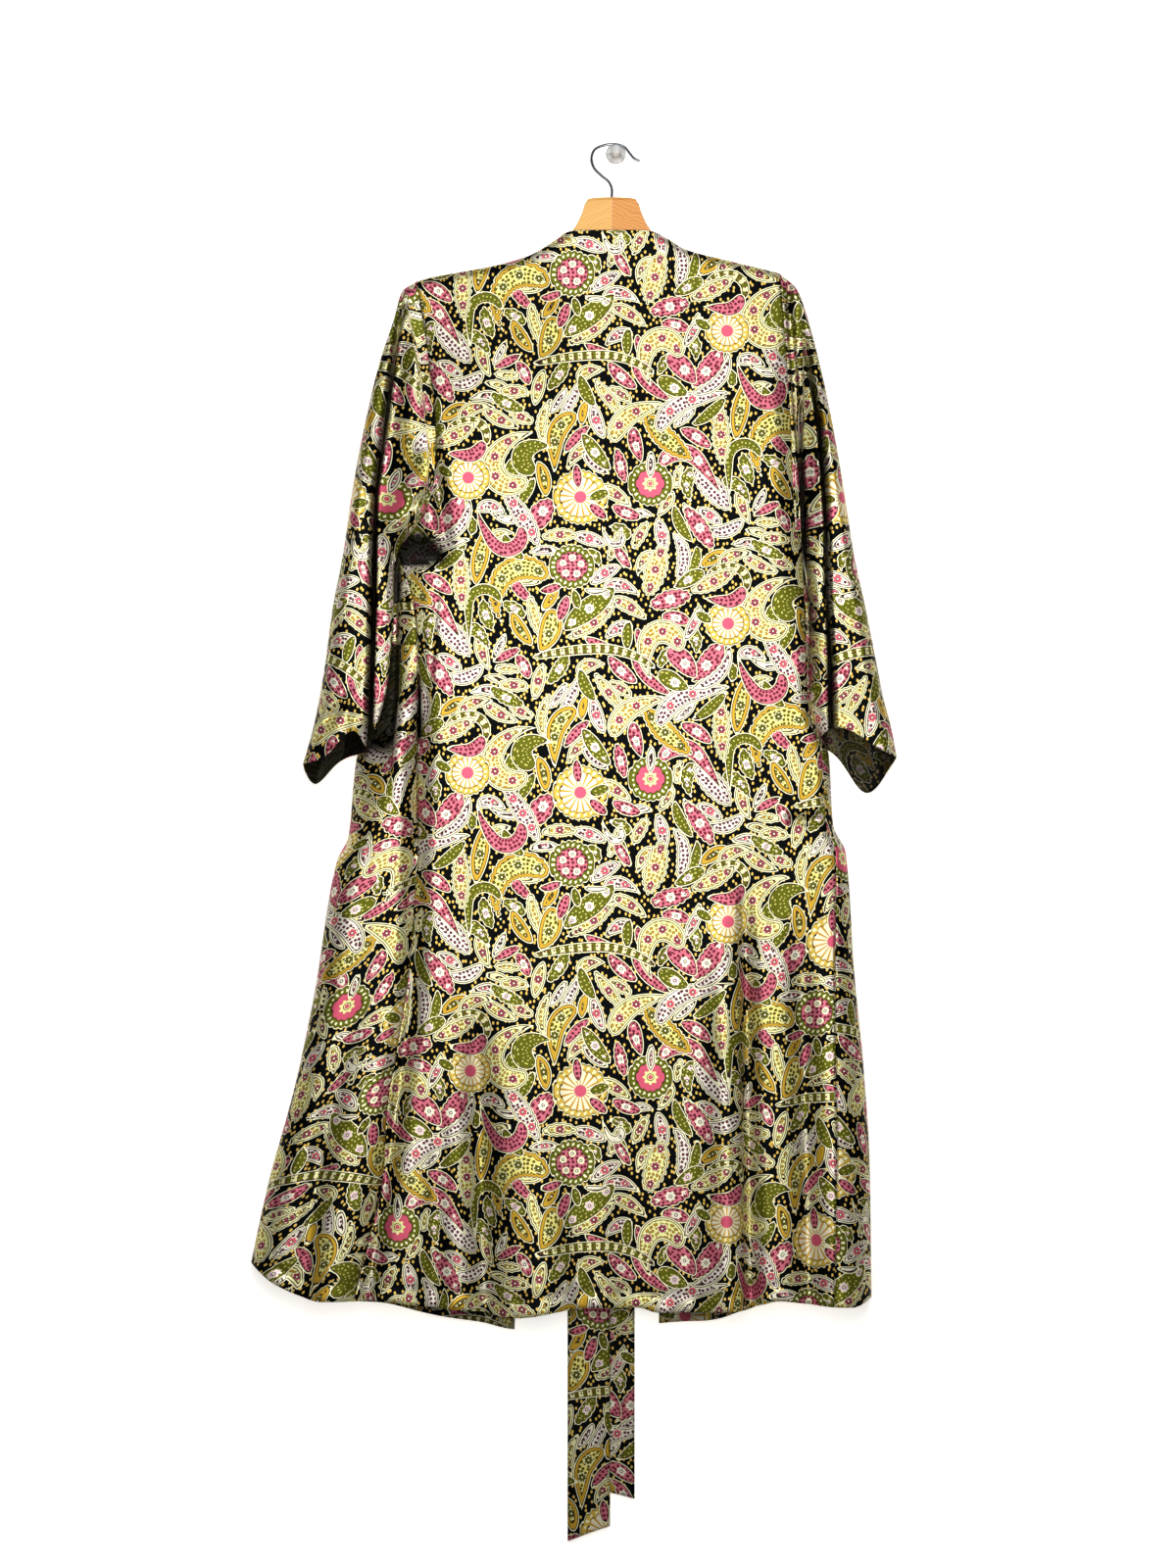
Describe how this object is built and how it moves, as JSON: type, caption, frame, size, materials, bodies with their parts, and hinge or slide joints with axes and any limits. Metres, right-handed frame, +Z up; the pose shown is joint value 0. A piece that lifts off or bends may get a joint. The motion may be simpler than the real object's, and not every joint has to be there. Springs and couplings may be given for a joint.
{
  "type": "dressing gown on hanger",
  "caption": "Long collarless dressing gown with set-in sleeves and a loosely knotted tie, hanging back outwards from a wooden hanger on a small wall hook, ready to be taken down and worn.",
  "frame": {"origin": "middle of the wall hook's back face, where it meets the wall", "axes": "+X to the right as the gown's back is looked at, +Y into the wall, +Z up"},
  "size_m": [0.7604, 0.0827, 1.654],
  "materials": {
    "satin": "printed satin, paisley on a black ground",
    "wood": "clear lacquer",
    "steel": "drawn wire",
    "enamel": "gloss"
  },
  "bodies": {
    "root": {"back": "satin", "front_left": "satin", "front_right": "satin", "sleeve_left": "satin", "sleeve_right": "satin", "belt_left": "satin", "belt_right": "satin", "belt_knot": "satin", "belt_end_left": "satin", "belt_end_right": "satin", "hanger_wood_left": "wood", "hanger_wood_right": "wood", "hanger_hook": "steel", "wall_hook": "enamel"}
  },
  "joints": []
}
